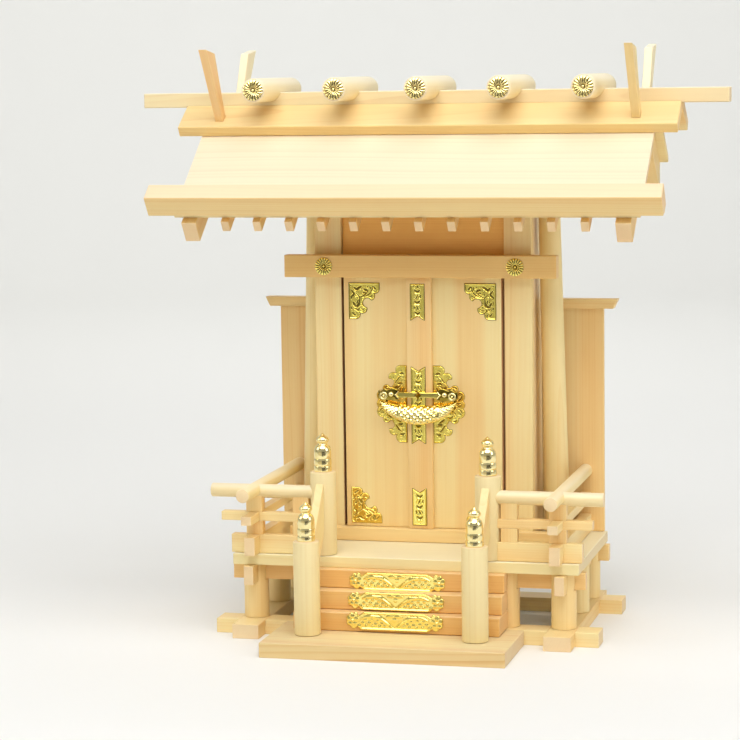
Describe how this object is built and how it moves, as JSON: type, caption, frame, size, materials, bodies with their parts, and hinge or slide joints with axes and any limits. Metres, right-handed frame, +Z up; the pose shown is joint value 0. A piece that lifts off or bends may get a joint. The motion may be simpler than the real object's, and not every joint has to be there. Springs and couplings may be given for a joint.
{
  "type": "household shinto shrine",
  "caption": "Plain cypress household altar shrine with a board roof, forked finials, hinged double doors with gilt fittings, a railed floor and steps.",
  "frame": {"origin": "on the ground, under the middle of the whole object's box", "axes": "+X along the ridge to the shrine's left as it faces out, which is a viewer's right; +Y to the back; +Z up. The doors and steps face -Y"},
  "size_m": [0.47, 0.2584, 0.4499],
  "materials": {
    "pale_cypress": "planed, unfinished",
    "heartwood_cypress": "planed, unfinished",
    "gilt_brass": "polished gilding"
  },
  "bodies": {
    "shrine": {"barge_board_left": "heartwood_cypress", "barge_board_right": "heartwood_cypress", "base_board": "pale_cypress", "billet_1": "pale_cypress", "billet_2": "pale_cypress", "billet_3": "pale_cypress", "billet_4": "pale_cypress", "billet_5": "pale_cypress", "eave_board": "pale_cypress", "finial_lower_left": "gilt_brass", "finial_lower_right": "gilt_brass", "finial_upper_left": "gilt_brass", "finial_upper_right": "gilt_brass", "floor_board": "pale_cypress", "floor_frame": "pale_cypress", "ground_frame": "pale_cypress", "horn_front_left": "pale_cypress", "horn_front_right": "pale_cypress", "horn_rear_left": "pale_cypress", "horn_rear_right": "pale_cypress", "lintel": "pale_cypress", "newel_lower_left": "pale_cypress", "newel_lower_right": "pale_cypress", "newel_upper_left": "pale_cypress", "newel_upper_right": "pale_cypress", "pilaster_left": "pale_cypress", "pilaster_right": "pale_cypress", "post_front_left": "pale_cypress", "post_front_right": "pale_cypress", "post_inner_left": "pale_cypress", "post_inner_right": "pale_cypress", "post_middle_left": "pale_cypress", "post_middle_right": "pale_cypress", "post_rear_left": "pale_cypress", "post_rear_right": "pale_cypress", "railing_left": "pale_cypress", "railing_right": "pale_cypress", "rear_wall": "pale_cypress", "ridge_board": "heartwood_cypress", "ridge_cap_front": "pale_cypress", "ridge_cap_rear": "pale_cypress", "ridge_pillar_left": "pale_cypress", "ridge_pillar_right": "pale_cypress", "roof_panel_front": "pale_cypress", "roof_panel_rear": "pale_cypress", "side_wall_left": "pale_cypress", "side_wall_right": "pale_cypress", "stair_rail_left": "pale_cypress", "stair_rail_right": "pale_cypress", "step_1": "heartwood_cypress", "step_2": "heartwood_cypress", "step_3": "heartwood_cypress", "threshold": "pale_cypress", "transom_panel": "pale_cypress", "wing_left": "pale_cypress", "wing_right": "pale_cypress"},
    "left_door": {"door_left": "pale_cypress"},
    "right_door": {"door_right": "pale_cypress", "meeting_strip": "heartwood_cypress", "lock": "gilt_brass"}
  },
  "joints": [
    {"name": "right_door_hinge", "type": "hinge", "parent": "shrine", "child": "right_door", "pos_m": [0.0606, 0.024, 0.0738], "axis": [0, 0, 1], "range_deg": [0, 75]},
    {"name": "left_door_hinge", "type": "hinge", "parent": "shrine", "child": "left_door", "pos_m": [-0.0606, 0.024, 0.0738], "axis": [0, 0, 1], "range_deg": [-75, 0]}
  ],
  "couplings": [
    {"joint": "left_door_hinge", "follows": "right_door_hinge", "ratio": -1}
  ]
}
